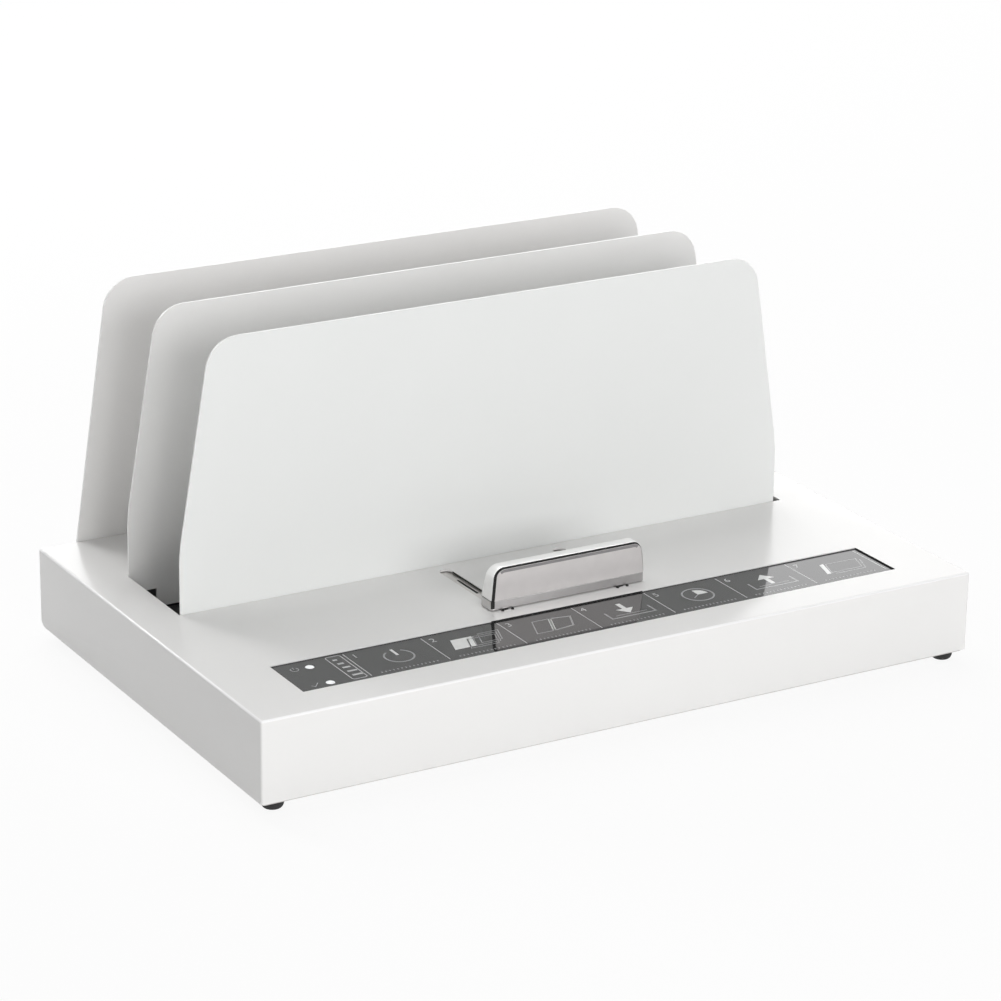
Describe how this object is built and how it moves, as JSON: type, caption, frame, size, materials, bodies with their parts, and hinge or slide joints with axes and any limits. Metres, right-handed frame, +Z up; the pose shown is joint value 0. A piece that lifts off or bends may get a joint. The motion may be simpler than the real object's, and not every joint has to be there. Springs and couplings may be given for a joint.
{
  "type": "thermal binding machine",
  "caption": "Desk thermal binding machine: low steel housing, heated bay and cooling bay between upright dividers, sliding clamp handle, flush control strip.",
  "frame": {"origin": "on the table under the middle of the machine's bounding box", "axes": "+X to the right seen from the front, -Y towards the person who uses it, +Z up"},
  "size_m": [0.45, 0.286, 0.21],
  "materials": {
    "white_powder_coat": "satin powder coat",
    "zinc_plate": "zinc plated",
    "bright_steel": "bright",
    "polished_chrome": "polished",
    "satin_nickel": "satin nickel",
    "grey_nickel": "dark satin",
    "black_rubber": "matte",
    "black_coating": "matte heat-proof coating",
    "black_plastic": "fine grain",
    "grey_gloss_film": "gloss",
    "insulation_board": "pressed mineral fibre",
    "mica_sheet": "mica laminate",
    "white_nylon": "moulded",
    "board_laminate": "solder mask",
    "transformer_iron": "varnished laminations",
    "blue_plastic": "moulded",
    "white_lens": "diffused lens"
  },
  "bodies": {
    "housing": {"housing_cover": "white_powder_coat", "base_pan": "zinc_plate", "foot_front_left": "black_rubber", "foot_front_right": "black_rubber", "foot_rear_left": "black_rubber", "foot_rear_right": "black_rubber", "middle_divider": "white_powder_coat", "rear_divider": "white_powder_coat", "heating_plate": "black_coating", "heater_element": "mica_sheet", "insulation_board": "insulation_board", "heater_trough": "bright_steel", "heater_end_left": "black_coating", "heater_end_right": "black_coating", "thermostat": "black_plastic", "sensor_pin": "bright_steel", "sensor_bracket": "bright_steel", "sensor_switch": "black_plastic", "guide_rod_left": "bright_steel", "guide_rod_right": "bright_steel", "rail_bracket_left": "bright_steel", "rail_bracket_right": "bright_steel", "panel_overlay": "grey_gloss_film", "panel_carrier": "black_plastic", "indicator_board": "board_laminate", "indicator_power": "white_lens", "indicator_ready": "white_lens", "control_board": "board_laminate", "board_spacer_front_left": "bright_steel", "board_spacer_front_right": "bright_steel", "board_spacer_rear_left": "bright_steel", "board_spacer_rear_right": "bright_steel", "transformer": "transformer_iron", "relay": "blue_plastic", "buzzer": "black_plastic", "terminal_block": "blue_plastic", "mains_inlet": "black_plastic", "power_switch_body": "black_plastic"},
    "carriage": {"carriage_plate": "zinc_plate", "slide_bush_left": "white_nylon", "slide_bush_right": "white_nylon", "handle_post_left": "bright_steel", "handle_post_right": "bright_steel", "handle_base": "grey_nickel", "handle_body": "polished_chrome", "handle_face": "satin_nickel", "front_divider": "white_powder_coat"},
    "lever": {"sensor_lever": "bright_steel"},
    "rocker": {"power_rocker": "black_plastic"}
  },
  "joints": [
    {"name": "carriage_slide", "type": "slide", "parent": "housing", "child": "carriage", "axis": [0, 1, 0], "range_m": [0, 0.056]},
    {"name": "lever_swing", "type": "hinge", "parent": "housing", "child": "lever", "pos_m": [0, 0.0829, 0.0395], "axis": [1, 0, 0], "range_deg": [0, 12], "stiffness_Nm_per_rad": 0.005, "springref_deg": -8.59},
    {"name": "rocker_swing", "type": "hinge", "parent": "housing", "child": "rocker", "pos_m": [0.108, 0.1382, 0.0269], "axis": [1, 0, 0], "range_deg": [-14, 0]}
  ]
}
